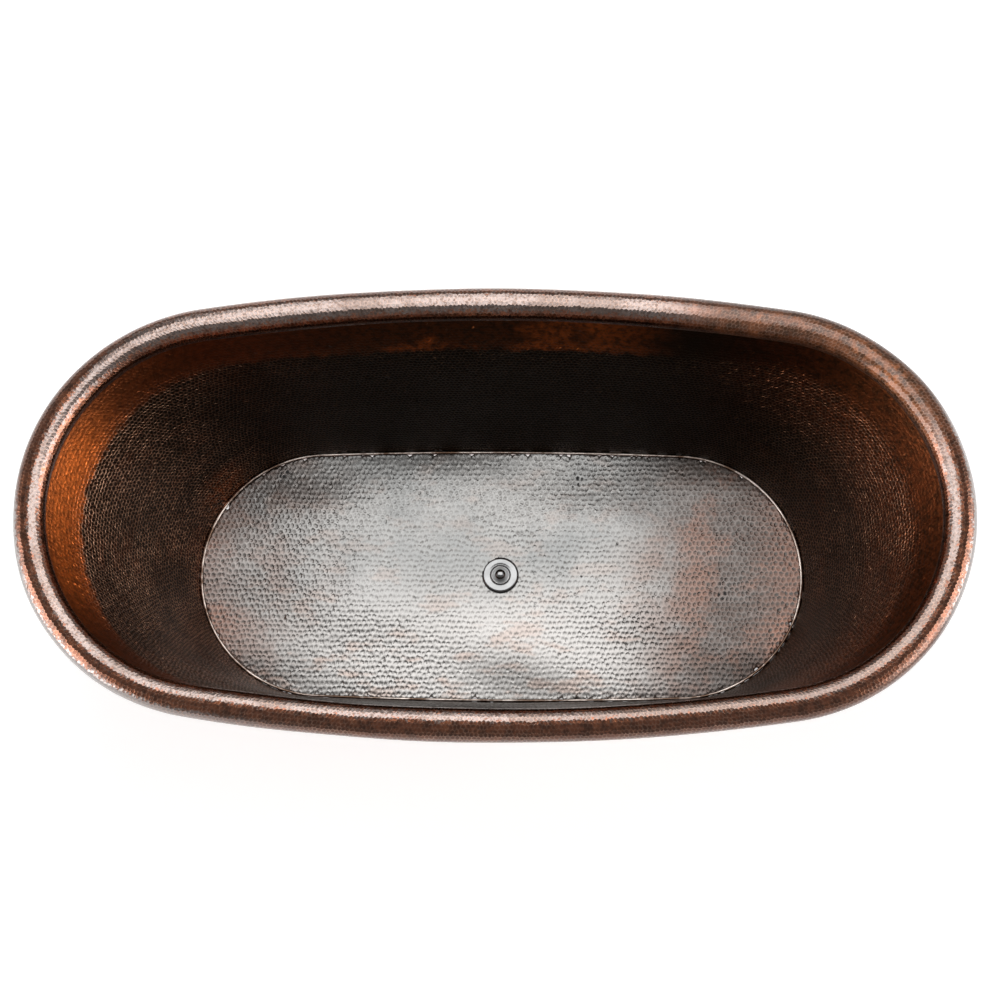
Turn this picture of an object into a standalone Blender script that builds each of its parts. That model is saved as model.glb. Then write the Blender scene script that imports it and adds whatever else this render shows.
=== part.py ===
"""Freestanding double-ended bathtub of hammered copper, with its under-frame, levelling feet and drain.

Metres, +X along the tub, +Y to the far side, +Z up. The origin is on the ground under the tub's middle.
"""
import math

import bmesh
import bpy

# Overall sizes of the tub.
LENGTH = 1.780
WIDTH = 0.864
HEIGHT = 0.650
RIM_RADIUS = 0.031
RIM_BOW = 0.038             # how far the long sides bow out past the round of the ends, at the rim
FLOOR_LENGTH = 1.258
FLOOR_WIDTH = 0.536
FLOOR_BOW = 0.007           # the same at the floor, which is almost a true obround
BASE_HEIGHT = 0.066         # ground to the top of the floor sheet

# Sheet metal and the gaps that brazing or contact closes.
SHEET = 0.002
GAP = 0.0003
END_SEAM = 0.0006           # butt joint between the two wall sheets
RIM_SEAT = 0.0012           # braze line between the wall's upper edge and the rolled rim
RIM_MEETS = math.radians(225)   # where round the roll the wall arrives: inside and below
ROLL_SLOT = 0.004           # the roll's free edges stop this far apart, underneath
NECK_SHARE = 0.10           # part of the wall's spread that the flared neck takes
NECK_POWER = 6              # how suddenly the neck flares
BEAD_RADIUS = 0.003
SKIRT_CLEAR = 0.006         # skirt's lower edge above the ground
SKIRT_FLARE = 0.010
FLOOR_HEM = 0.001           # floor sheet's edge past the wall

# Under-frame.
TUBE_WALL = 0.002
RAIL_WIDTH = 0.030
RAIL_Y = 0.170
BAR_WIDTH = 0.030
BAR_HEIGHT = 0.015
BAR_INNER_X = 0.160
BAR_INSET = 0.090           # outer bars, from the rails' ends
FOOT_INSET = 0.190          # feet, from the rails' ends
WELD_GAP = 0.0015           # frame ends to the skirt, closed by the weld
STRIP_HEIGHT = 0.004
STRIP_WIDTH = 0.024
STRIP_SHORTER = 0.020

# Levelling feet.
PAD_RADIUS = 0.022
PAD_HEIGHT = 0.009
PAD_SHOULDER = 0.014
SOCKET_RADIUS = 0.0062
SOCKET_DEPTH = 0.003
STUD_RADIUS = 0.005
STUD_ABOVE_RAIL = 0.013
STUD_FLATS = 0.017
STUD_HEX_HEIGHT = 0.005
THREAD_CLEAR = 0.0003
NUT_FLATS = 0.017
NUT_HEIGHT = 0.005
FOOT_ROOM = 0.0065          # how far a foot can be screwed up before its hexagon meets the weld nut

# Drain, about the axis through the middle of the floor.
FLANGE_RADIUS = 0.0368
FLANGE_THICKNESS = 0.0025
FLANGE_EDGE_DROP = 0.0015   # the flange's edge is lower than its face
FLANGE_SLOPE = 0.0023       # width of the sloping edge, and of the slope inside the groove
FLANGE_LAND = 0.0080        # from the lip to the top of the broad face
LIP_WIDTH = 0.0015
RELIEF = 0.0004             # height of the flange's raised rings over the lip's level
EDGE_ROUND = 0.0005
BARREL_RADIUS = 0.0210
BARREL_WALL = 0.0035
BARREL_LENGTH = 0.045
SEAT_STEP = 0.0025          # the mouth's radius over the bore's
SEAT_TOP = -0.0040
SEAT_BOTTOM = -0.0075
DISH_DEPTH = 0.004          # the floor dips this far around the drain
DISH_RADIUS = 0.130
DISH_FLAT = 0.0072          # flat ring of the dish outside the flange
DRAIN_HOLE_CLEAR = 0.0010
GASKET_HEIGHT = 0.0015
GASKET_RADIUS = 0.0385
WASHER_RADIUS = 0.031
RUBBER_WASHER_HEIGHT = 0.004
FIBRE_WASHER_HEIGHT = 0.0015
LOCKNUT_FLATS = 0.056
LOCKNUT_HEIGHT = 0.009
BARREL_CLEAR = 0.0004
CROSS_TOP = -0.030
CROSS_HEIGHT = 0.005
CROSS_WIDTH = 0.004
CROSS_HUB_RADIUS = 0.007

# Lift-and-turn stopper. Heights are from the flange's lip.
POST_THREAD_RADIUS = 0.0040
POST_RADIUS = 0.0042
POST_NECK_RADIUS = 0.0028
POST_COLLAR_RADIUS = 0.0060
POST_COLLAR_HEIGHT = 0.0017
POST_TOP = -0.009
POST_HEAD_HEIGHT = 0.003
POST_BELOW_HUB = 0.003
GUIDE_RADIUS = 0.0052
GUIDE_HEIGHT = 0.0047
CAP_CLEAR = 0.0012
CAP_RIM_DROP = 0.0003
CAP_DISH = 0.0026
CAP_THICKNESS = 0.0020
CAP_DISH_RADIUS = 0.0090
CAP_EDGE_SLOPE = 0.0012     # width of the cap's sloping edge
CAP_EDGE_CORNER = 0.0002
HUB_CLEAR = 0.0003
HUB_WALL = 0.0020
HUB_BOTTOM_CLEAR = 0.0010
SEAL_INSET = 0.0003
SEAL_HEIGHT = 0.0020
SEAL_SHOULDER = 0.0010
SEAL_CLEAR = 0.00045        # between the seal and the cap's sloping underside
RETAINER_RADIUS = 0.0130
RETAINER_HEIGHT = 0.0013
KNOB_RADIUS = 0.0110
KNOB_NECK_RADIUS = 0.0055
KNOB_NECK_HEIGHT = 0.0030
KNOB_NECK_WAIST = 0.0010    # how much thinner the neck is half way up
KNOB_HEIGHT = 0.0110
KNOB_BORE_DEPTH = 0.006
SCREW_RADIUS = 0.0015
SCREW_HEAD_RADIUS = 0.0034
SCREW_HEAD_HEIGHT = 0.0018

# Facets.
END_STEPS = 10              # along a quarter's end arc
SIDE_STEPS = 4              # along a quarter's side arc
WALL_ROWS = 8
ROLL_STEPS = 12
TURNED_STEPS = 32
SMALL_STEPS = 20
KNOB_STEPS = 12
HEX = 6

# Places that follow from the sizes above.
FLOOR_TOP = BASE_HEIGHT
FLOOR_UNDER = FLOOR_TOP - SHEET
RIM_Z = HEIGHT - RIM_RADIUS
STRIP_TOP = FLOOR_UNDER - GAP
BAR_TOP = STRIP_TOP - STRIP_HEIGHT - GAP
RAIL_TOP = BAR_TOP - BAR_HEIGHT - GAP
HEX_BOTTOM = PAD_HEIGHT + GAP
HEX_TOP = HEX_BOTTOM + STUD_HEX_HEIGHT
RAIL_BOTTOM = HEX_TOP + FOOT_ROOM + NUT_HEIGHT + GAP
RAIL_HEIGHT = RAIL_TOP - RAIL_BOTTOM
BARREL_BORE = BARREL_RADIUS - BARREL_WALL
LIP_RADIUS = BARREL_BORE + SEAT_STEP
CAP_RADIUS = LIP_RADIUS - CAP_CLEAR
SEAL_RADIUS = CAP_RADIUS - SEAL_INSET
DISH_TOP = FLOOR_TOP - DISH_DEPTH
FLANGE_UNDER = DISH_TOP + GAP + GASKET_HEIGHT + GAP
LIP_Z = FLANGE_UNDER + FLANGE_THICKNESS


def clear_scene():
    for old in list(bpy.data.objects):
        bpy.data.objects.remove(old, do_unlink=True)


def new_collection(name):
    collection = bpy.data.collections.new(name)
    bpy.context.scene.collection.children.link(collection)
    return collection


def finish(name, colour, roughness, metallic):
    """A Principled material."""
    made = bpy.data.materials.new(name)
    made.use_nodes = True
    shader = made.node_tree.nodes["Principled BSDF"]
    shader.inputs["Base Color"].default_value = (*colour, 1.0)
    shader.inputs["Roughness"].default_value = roughness
    shader.inputs["Metallic"].default_value = metallic
    return made


clear_scene()
TUB = new_collection("hammered_bathtub")
CUTTERS = new_collection("cutters")

COPPER = finish("aged_copper", (0.23, 0.10, 0.05), 0.35, 1.0)
FLOOR_COPPER = finish("worn_floor_copper", (0.52, 0.46, 0.43), 0.35, 1.0)
BRAZE = finish("braze_bead", (0.60, 0.55, 0.50), 0.35, 1.0)
STEEL = finish("painted_frame_steel", (0.06, 0.06, 0.065), 0.5, 0.0)
ZINC = finish("zinc_plated_steel", (0.62, 0.62, 0.60), 0.35, 1.0)
CHROME = finish("bright_chrome", (0.80, 0.80, 0.80), 0.08, 1.0)
BRASS = finish("cast_brass", (0.62, 0.45, 0.20), 0.35, 1.0)
RUBBER = finish("black_rubber", (0.03, 0.03, 0.03), 0.8, 0.0)
FIBRE = finish("white_nylon", (0.78, 0.76, 0.70), 0.5, 0.0)


# --- Outlines ---------------------------------------------------------------------------------------


def end_radius(half_width, bow):
    return half_width - bow


def side_radius(half_length, half_width, bow):
    """Radius of the long side's arc, which meets the end round without a corner."""
    round_end = end_radius(half_width, bow)
    reach = half_length - round_end
    return (reach ** 2 + half_width ** 2 - round_end ** 2) / (2 * bow)


def oval(half_length, half_width, bow):
    """Four-arc oval: (x, y) points, anticlockwise from the +X end."""
    round_end = end_radius(half_width, bow)
    reach = half_length - round_end
    long_side = side_radius(half_length, half_width, bow)
    drop = long_side - half_width
    join = math.atan2(drop, reach)
    quarter = []
    for step in range(END_STEPS):
        angle = join * step / END_STEPS
        quarter.append((reach + round_end * math.cos(angle), round_end * math.sin(angle)))
    for step in range(SIDE_STEPS + 1):
        angle = join + (math.pi / 2 - join) * step / SIDE_STEPS
        quarter.append((long_side * math.cos(angle), long_side * math.sin(angle) - drop))
    far_half = quarter + [(-x, y) for x, y in quarter[-2::-1]]
    return far_half + [(x, -y) for x, y in far_half[-2:0:-1]]


def circle(radius, count):
    return [
        (radius * math.cos(math.tau * step / count), radius * math.sin(math.tau * step / count))
        for step in range(count)
    ]


def floor_oval(grown):
    return oval(FLOOR_LENGTH / 2 + grown, FLOOR_WIDTH / 2 + grown, FLOOR_BOW)


def floor_reach_at_side(y):
    """Half length of the floor's outline at a distance y from its long axis, on the end round."""
    round_end = end_radius(FLOOR_WIDTH / 2, FLOOR_BOW)
    return FLOOR_LENGTH / 2 - round_end + math.sqrt(round_end ** 2 - y ** 2)


def floor_half_width_at(x):
    """Half width of the floor's outline at a distance x from its middle."""
    half_length, half_width = FLOOR_LENGTH / 2, FLOOR_WIDTH / 2
    round_end = end_radius(half_width, FLOOR_BOW)
    long_side = side_radius(half_length, half_width, FLOOR_BOW)
    reach = half_length - round_end
    drop = long_side - half_width
    if x < long_side * math.cos(math.atan2(drop, reach)):
        return math.sqrt(long_side ** 2 - x ** 2) - drop
    return math.sqrt(round_end ** 2 - (x - reach) ** 2)


# --- Ways to make a piece -----------------------------------------------------------------------------


def place(name, data, look=None, at=(0, 0, 0), parent=None):
    """A named part of the tub, or a cutter when it has no look."""
    made = bpy.data.objects.new(name, data)
    made.location = at
    made.parent = parent
    if look is None:
        CUTTERS.objects.link(made)
        made.hide_render = True
        made.display_type = "WIRE"
    else:
        TUB.objects.link(made)
        data.materials.append(look)
    return made


def marker(name, at):
    """An empty that carries the pieces on one axis."""
    made = bpy.data.objects.new(name, None)
    made.location = at
    TUB.objects.link(made)
    return made


def to_mesh(name, shape):
    mesh = bpy.data.meshes.new(name)
    shape.to_mesh(mesh)
    shape.free()
    return mesh


def loft(name, rows, look, closed=True, thickness=SHEET, side=-1, smooth=True):
    """A sheet through rows of (x, y, z) points, thickened to one side of it."""
    shape = bmesh.new()
    lines = [[shape.verts.new(point) for point in row] for row in rows]
    count = len(rows[0])
    for lower, upper in zip(lines, lines[1:]):
        for step in range(count if closed else count - 1):
            following = (step + 1) % count
            shape.faces.new((lower[step], lower[following], upper[following], upper[step]))
    mesh = to_mesh(name, shape)
    if smooth:
        mesh.shade_smooth()
    made = place(name, mesh, look)
    shell = made.modifiers.new("sheet", "SOLIDIFY")
    shell.thickness = thickness
    shell.offset = side
    shell.use_even_offset = True
    return made


def turned(name, profile, look, parent=None, steps=TURNED_STEPS, at=(0, 0, 0)):
    """A profile of (radius, height) points turned about Z. It closes on itself, or ends on the axis."""
    shape = bmesh.new()
    points = [shape.verts.new((radius, 0, height)) for radius, height in profile]
    for first, second in zip(points, points[1:]):
        shape.edges.new((first, second))
    if profile[0][0] > 0:
        shape.edges.new((points[-1], points[0]))
    made = place(name, to_mesh(name, shape), look, at, parent)
    spin = made.modifiers.new("turn", "SCREW")
    spin.steps = steps
    spin.render_steps = steps
    spin.use_merge_vertices = True
    spin.merge_threshold = 0.00005
    return made


def ring(name, outer, inner, bottom, top, look, parent=None, steps=TURNED_STEPS):
    return turned(name, [(outer, top), (outer, bottom), (inner, bottom), (inner, top)], look, parent, steps)


def prism(name, sides, radius, bottom, top, look=None, parent=None, at=(0, 0)):
    """An upright cylinder or hexagon."""
    shape = bmesh.new()
    bmesh.ops.create_cone(
        shape, cap_ends=True, segments=sides, radius1=radius, radius2=radius, depth=top - bottom
    )
    return place(name, to_mesh(name, shape), look, (*at, (top + bottom) / 2), parent)


def block(name, size, look=None, at=(0, 0, 0), parent=None):
    shape = bmesh.new()
    bmesh.ops.create_cube(shape, size=1.0)
    bmesh.ops.scale(shape, vec=size, verts=shape.verts)
    return place(name, to_mesh(name, shape), look, at, parent)


def cut(piece, tool, operation="DIFFERENCE"):
    change = piece.modifiers.new(tool.name, "BOOLEAN")
    change.operation = operation
    change.object = tool
    change.solver = "EXACT"


def across_corners(flats):
    return flats / 2 / math.cos(math.pi / HEX)


def hex_nut(name, flats, bottom, height, bore, look, parent=None):
    nut = prism(name, HEX, across_corners(flats), bottom, bottom + height, look, parent)
    hole = prism(name + "_bore", SMALL_STEPS, bore, bottom - height, bottom + 2 * height, None, parent)
    cut(nut, hole)
    return nut


def box_tube(name, size, look, at):
    """A rectangular steel tube, open at both ends of its longest side."""
    tube = block(name, size, look, at)
    longest = max(size)
    hollow = [side + longest if side == longest else side - 2 * TUBE_WALL for side in size]
    cut(tube, block(name + "_hollow", hollow, None, at))
    return tube


# --- Shell --------------------------------------------------------------------------------------------


def wall_rows():
    """The inner face of the wall, from the floor's outline to the roll's, row by row."""
    reach = (RIM_RADIUS + RIM_SEAT) * math.cos(RIM_MEETS) - RIM_RADIUS
    top_z = RIM_Z + (RIM_RADIUS + RIM_SEAT) * math.sin(RIM_MEETS)
    end_lean = math.atan2(LENGTH / 2 + reach - FLOOR_LENGTH / 2, top_z - FLOOR_TOP)
    bottom_z = FLOOR_TOP + GAP + SHEET * math.sin(end_lean)     # so that the outer face clears the floor
    rows = []
    for row in range(WALL_ROWS + 1):
        rise = row / WALL_ROWS
        spread = (1 - NECK_SHARE) * rise + NECK_SHARE * rise ** NECK_POWER
        half_length = FLOOR_LENGTH / 2 + spread * (LENGTH / 2 + reach - FLOOR_LENGTH / 2)
        half_width = FLOOR_WIDTH / 2 + spread * (WIDTH / 2 + reach - FLOOR_WIDTH / 2)
        bow = FLOOR_BOW + spread * (RIM_BOW - FLOOR_BOW)
        height = bottom_z + rise * (top_z - bottom_z)
        rows.append([(x, y, height) for x, y in oval(half_length, half_width, bow)])
    return rows


def half_row(row, side):
    """The half of a row on one side of the long axis, stopped short of it by half the seam."""
    half = len(row) // 2
    chosen = row[:half + 1] if side > 0 else row[half:] + row[:1]
    seam_y = side * END_SEAM / 2
    first, last = chosen[0], chosen[-1]
    return [(first[0], seam_y, first[2]), *chosen[1:-1], (last[0], seam_y, last[2])]


def make_walls():
    rows = wall_rows()
    for name, side in (("wall_sheet_rear", 1), ("wall_sheet_front", -1)):
        loft(name, [half_row(row, side) for row in rows], COPPER, closed=False, side=1)


def make_rim():
    """The rolled rim: a round roll of sheet, open by a slot underneath."""
    half_slot = ROLL_SLOT / 2 / RIM_RADIUS
    first = -math.pi / 2 + half_slot
    last = 3 * math.pi / 2 - half_slot
    rows = []
    for step in range(ROLL_STEPS + 1):
        angle = first + (last - first) * step / ROLL_STEPS
        grown = RIM_RADIUS * math.cos(angle) - RIM_RADIUS
        height = RIM_Z + RIM_RADIUS * math.sin(angle)
        outline = oval(LENGTH / 2 + grown, WIDTH / 2 + grown, RIM_BOW)
        rows.append([(x, y, height) for x, y in outline])
    loft("rim_roll", rows, COPPER)


def make_floor():
    """The floor sheet, dished around the drain hole."""
    outline = floor_oval(SHEET + FLOOR_HEM)
    count = len(outline)
    rows = [[(x, y, FLOOR_TOP) for x, y in outline]]
    rows.append([(x, y, FLOOR_TOP) for x, y in circle(DISH_RADIUS, count)])
    rows.append([(x, y, DISH_TOP) for x, y in circle(FLANGE_RADIUS + DISH_FLAT, count)])
    rows.append([(x, y, DISH_TOP) for x, y in circle(BARREL_RADIUS + DRAIN_HOLE_CLEAR, count)])
    loft("floor_sheet", rows, FLOOR_COPPER, smooth=False)


def make_floor_bead():
    """The braze bead in the corner between floor and wall."""
    line = bpy.data.curves.new("floor_bead", "CURVE")
    line.dimensions = "3D"
    line.bevel_depth = BEAD_RADIUS
    line.bevel_resolution = 1
    path = line.splines.new("POLY")
    outline = floor_oval(-BEAD_RADIUS - GAP)
    path.points.add(len(outline) - 1)
    for point, (x, y) in zip(path.points, outline):
        point.co = (x, y, FLOOR_TOP + GAP + BEAD_RADIUS, 1)
    path.use_cyclic_u = True
    place("floor_bead", line, BRAZE)


def make_skirt():
    """The base skirt, which hangs from the floor sheet and flares out to just above the ground."""
    rows = []
    for grown, height in ((SHEET + SKIRT_FLARE, SKIRT_CLEAR), (SHEET, FLOOR_UNDER - GAP)):
        rows.append([(x, y, height) for x, y in floor_oval(grown)])
    loft("base_skirt", rows, COPPER)


# --- Under-frame --------------------------------------------------------------------------------------


def rail_half_length():
    return floor_reach_at_side(RAIL_Y + RAIL_WIDTH / 2) - WELD_GAP


def make_frame():
    half = rail_half_length()
    foot_x = half - FOOT_INSET
    for name, side in (("frame_rail_front", -1), ("frame_rail_rear", 1)):
        middle = (0, side * RAIL_Y, RAIL_TOP - RAIL_HEIGHT / 2)
        rail = box_tube(name, (2 * half, RAIL_WIDTH, RAIL_HEIGHT), STEEL, middle)
        for end in (-1, 1):
            at = (end * foot_x, side * RAIL_Y)
            cut(rail, prism("foot_hole", SMALL_STEPS, STUD_RADIUS + THREAD_CLEAR, 0, BASE_HEIGHT, at=at))
    bar_places = (-(half - BAR_INSET), -BAR_INNER_X, BAR_INNER_X, half - BAR_INSET)
    for number, x in enumerate(bar_places, 1):
        bar_length = 2 * (floor_half_width_at(abs(x) + BAR_WIDTH / 2) - WELD_GAP)
        bar_size = (BAR_WIDTH, bar_length, BAR_HEIGHT)
        box_tube(f"cross_bar_{number}", bar_size, STEEL, (x, 0, BAR_TOP - BAR_HEIGHT / 2))
        strip_size = (STRIP_WIDTH, bar_length - STRIP_SHORTER, STRIP_HEIGHT)
        block(f"floor_strip_{number}", strip_size, RUBBER, (x, 0, STRIP_TOP - STRIP_HEIGHT / 2))


def make_foot(number, x, y):
    """A levelling foot: pad on the ground, stud through the rail, weld nut under it, lock nut on it."""
    axis = marker(f"foot_{number}_axis", (x, y, 0))
    pad = [
        (0, PAD_HEIGHT - SOCKET_DEPTH),
        (SOCKET_RADIUS, PAD_HEIGHT - SOCKET_DEPTH),
        (SOCKET_RADIUS, PAD_HEIGHT),
        (PAD_SHOULDER, PAD_HEIGHT),
        (PAD_RADIUS, PAD_HEIGHT / 2),
        (PAD_RADIUS, 0),
        (0, 0),
    ]
    turned(f"foot_{number}_pad", pad, RUBBER, axis, SMALL_STEPS)
    stud = prism(f"foot_{number}_stud", HEX, across_corners(STUD_FLATS), HEX_BOTTOM, HEX_TOP, ZINC, axis)
    stud_top = RAIL_TOP + STUD_ABOVE_RAIL
    thread = prism("stud_thread", SMALL_STEPS, STUD_RADIUS, HEX_BOTTOM + GAP, stud_top, None, axis)
    spigot_bottom = PAD_HEIGHT - SOCKET_DEPTH + GAP
    spigot_radius = SOCKET_RADIUS - 2 * GAP
    spigot = prism("stud_spigot", SMALL_STEPS, spigot_radius, spigot_bottom, HEX_TOP - GAP, None, axis)
    cut(stud, thread, "UNION")
    cut(stud, spigot, "UNION")
    bore = STUD_RADIUS + THREAD_CLEAR
    weld_nut_bottom = RAIL_BOTTOM - GAP - NUT_HEIGHT
    hex_nut(f"foot_{number}_weld_nut", NUT_FLATS, weld_nut_bottom, NUT_HEIGHT, bore, ZINC, axis)
    hex_nut(f"foot_{number}_lock_nut", NUT_FLATS, RAIL_TOP + GAP, NUT_HEIGHT, bore, ZINC, axis)


def make_feet():
    foot_x = rail_half_length() - FOOT_INSET
    corners = ((-foot_x, -RAIL_Y), (foot_x, -RAIL_Y), (foot_x, RAIL_Y), (-foot_x, RAIL_Y))
    for number, (x, y) in enumerate(corners, 1):
        make_foot(number, x, y)


# --- Drain --------------------------------------------------------------------------------------------


def make_drain_body(axis):
    """Flange and threaded barrel in one, with a cross inside the barrel that holds the post."""
    profile = [
        (LIP_RADIUS + EDGE_ROUND, RELIEF),
        (LIP_RADIUS + LIP_WIDTH, RELIEF),
        (LIP_RADIUS + FLANGE_SLOPE, -RELIEF),
        (LIP_RADIUS + FLANGE_LAND, RELIEF),
        (FLANGE_RADIUS - FLANGE_SLOPE, -RELIEF),
        (FLANGE_RADIUS, -FLANGE_EDGE_DROP),
        (FLANGE_RADIUS, -FLANGE_THICKNESS),
        (BARREL_RADIUS, -FLANGE_THICKNESS),
        (BARREL_RADIUS, -BARREL_LENGTH),
        (BARREL_BORE, -BARREL_LENGTH),
        (BARREL_BORE, SEAT_BOTTOM),
        (LIP_RADIUS, SEAT_TOP),
        (LIP_RADIUS, -RELIEF),
    ]
    body = turned("drain_flange_body", profile, CHROME, axis)
    across = BARREL_BORE + BARREL_RADIUS
    for number, turn in enumerate((math.pi / 4, -math.pi / 4)):
        size = (across, CROSS_WIDTH, CROSS_HEIGHT)
        bar = block(f"cross_web_{number}", size, None, (0, 0, CROSS_TOP - CROSS_HEIGHT / 2), axis)
        bar.rotation_euler = (0, 0, turn)
        cut(body, bar, "UNION")
    hub_bottom = CROSS_TOP - CROSS_HEIGHT - GAP
    hub = prism("cross_hub", SMALL_STEPS, CROSS_HUB_RADIUS, hub_bottom, CROSS_TOP + GAP, None, axis)
    cut(body, hub, "UNION")
    bore_radius = POST_THREAD_RADIUS + THREAD_CLEAR
    bore_bottom = 2 * hub_bottom - CROSS_TOP
    bore = prism("cross_bore", SMALL_STEPS, bore_radius, bore_bottom, CROSS_TOP / 2, None, axis)
    cut(body, bore)


def make_drain_seals(axis):
    """What clamps the floor sheet: gasket above, rubber and nylon washers and the locknut below."""
    inner = BARREL_RADIUS + BARREL_CLEAR
    under = DISH_TOP - SHEET - LIP_Z
    top = -FLANGE_THICKNESS - GAP
    ring("drain_gasket", GASKET_RADIUS, inner, top - GASKET_HEIGHT, top, RUBBER, axis)
    top = under - GAP
    ring("drain_rubber_washer", WASHER_RADIUS, inner, top - RUBBER_WASHER_HEIGHT, top, RUBBER, axis)
    top -= RUBBER_WASHER_HEIGHT + GAP
    ring("drain_slip_washer", WASHER_RADIUS, inner, top - FIBRE_WASHER_HEIGHT, top, FIBRE, axis)
    top -= FIBRE_WASHER_HEIGHT + GAP
    hex_nut("drain_locknut", LOCKNUT_FLATS, top - LOCKNUT_HEIGHT, LOCKNUT_HEIGHT, inner, BRASS, axis)


def make_stopper(axis):
    """The post on the cross, the guide ring that turns round its neck, and the stopper on the ring."""
    collar_bottom = CROSS_TOP + 2 * GAP
    collar_top = collar_bottom + POST_COLLAR_HEIGHT
    neck_top = POST_TOP - POST_HEAD_HEIGHT
    neck_bottom = neck_top - GUIDE_HEIGHT - 2 * GAP
    thread_bottom = CROSS_TOP - CROSS_HEIGHT - POST_BELOW_HUB
    post = [
        (0, POST_TOP),
        (POST_RADIUS - GAP, POST_TOP),
        (POST_RADIUS, POST_TOP - GAP),
        (POST_RADIUS, neck_top),
        (POST_NECK_RADIUS, neck_top),
        (POST_NECK_RADIUS, neck_bottom),
        (POST_RADIUS, neck_bottom),
        (POST_RADIUS, collar_top),
        (POST_COLLAR_RADIUS, collar_top),
        (POST_COLLAR_RADIUS, collar_bottom),
        (POST_THREAD_RADIUS, collar_bottom),
        (POST_THREAD_RADIUS, thread_bottom),
        (0, thread_bottom),
    ]
    turned("stopper_post", post, BRASS, axis, SMALL_STEPS)
    ring(
        "guide_ring", GUIDE_RADIUS, POST_NECK_RADIUS + GAP, neck_bottom + GAP, neck_top - GAP,
        BRASS, axis, SMALL_STEPS,
    )

    hub_inner = GUIDE_RADIUS + HUB_CLEAR
    hub_outer = hub_inner + HUB_WALL
    hub_bottom = collar_top + HUB_BOTTOM_CLEAR
    screw_hole = SCREW_RADIUS + GAP
    rim_top = -CAP_RIM_DROP
    dish_top = rim_top - CAP_DISH
    under_edge = rim_top - CAP_THICKNESS
    under_hub = dish_top - CAP_THICKNESS
    web = under_hub - 2 * GAP
    cap = [
        (screw_hole, dish_top),
        (CAP_DISH_RADIUS, dish_top),
        (CAP_RADIUS - CAP_EDGE_SLOPE, rim_top),
        (CAP_RADIUS - CAP_EDGE_CORNER, rim_top),
        (CAP_RADIUS, rim_top - EDGE_ROUND),
        (CAP_RADIUS, under_edge),
        (CAP_DISH_RADIUS, under_hub),
        (hub_outer, under_hub),
        (hub_outer, hub_bottom),
        (hub_inner, hub_bottom),
        (hub_inner, web),
        (screw_hole, web),
    ]
    turned("stopper_cap", cap, CHROME, axis)

    slope = (under_edge - under_hub) / (CAP_RADIUS - CAP_DISH_RADIUS)
    seal_inner = CAP_DISH_RADIUS + GAP
    shoulder = SEAL_RADIUS - SEAL_SHOULDER
    seal = [
        (shoulder, under_hub + slope * (shoulder - CAP_DISH_RADIUS) - SEAL_CLEAR),
        (SEAL_RADIUS, under_edge - SEAL_CLEAR),
        (SEAL_RADIUS, under_edge - SEAL_HEIGHT),
        (shoulder, under_hub - SEAL_HEIGHT),
        (seal_inner, under_hub - SEAL_HEIGHT),
        (seal_inner, under_hub - GAP),
    ]
    turned("stopper_seal", seal, RUBBER, axis)
    top = under_hub - SEAL_HEIGHT - GAP
    ring("seal_retainer", RETAINER_RADIUS, hub_outer + GAP, top - RETAINER_HEIGHT, top, BRASS, axis)

    base = dish_top + GAP
    widest = base + KNOB_NECK_HEIGHT + KNOB_HEIGHT / 2
    waist = KNOB_NECK_RADIUS - KNOB_NECK_WAIST
    knob = [(0, widest + KNOB_HEIGHT / 2)]
    for step in range(1, KNOB_STEPS):
        angle = math.pi * step / KNOB_STEPS
        radius = max(KNOB_RADIUS * math.sin(angle), waist)
        knob.append((radius, widest + KNOB_HEIGHT / 2 * math.cos(angle)))
    knob += [
        (waist, base + KNOB_NECK_HEIGHT / 2),
        (KNOB_NECK_RADIUS, base),
        (screw_hole, base),
        (screw_hole, base + KNOB_BORE_DEPTH),
        (0, base + KNOB_BORE_DEPTH),
    ]
    turned("stopper_knob", knob, CHROME, axis)
    head_top = web - GAP
    screw = [
        (0, base + KNOB_BORE_DEPTH - GAP),
        (SCREW_RADIUS, base + KNOB_BORE_DEPTH - GAP),
        (SCREW_RADIUS, head_top),
        (SCREW_HEAD_RADIUS, head_top),
        (SCREW_HEAD_RADIUS, head_top - SCREW_HEAD_HEIGHT),
        (0, head_top - SCREW_HEAD_HEIGHT),
    ]
    turned("knob_screw", screw, ZINC, axis, SMALL_STEPS)


def main():
    make_walls()
    make_rim()
    make_floor()
    make_floor_bead()
    make_skirt()
    make_frame()
    make_feet()
    drain_axis = marker("drain_axis", (0, 0, LIP_Z))
    make_drain_body(drain_axis)
    make_drain_seals(drain_axis)
    make_stopper(drain_axis)


main()
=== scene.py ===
# %% [markdown]
# # A hammered copper bathtub
#
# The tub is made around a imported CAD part, which gives every size and every moving body. This
# script gives it what a coppersmith leaves behind: thousands of hammer marks, a dark patina that is
# rubbed through to bright copper on the edges, a braze bead, and a polished drain. Each step says
# what the real thing is, how it could be made in Blender, and why it is made as it is here.

# %% Load the CAD part
import math

import bmesh
import bpy
import numpy as np
from mathutils import Matrix, Vector


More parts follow.
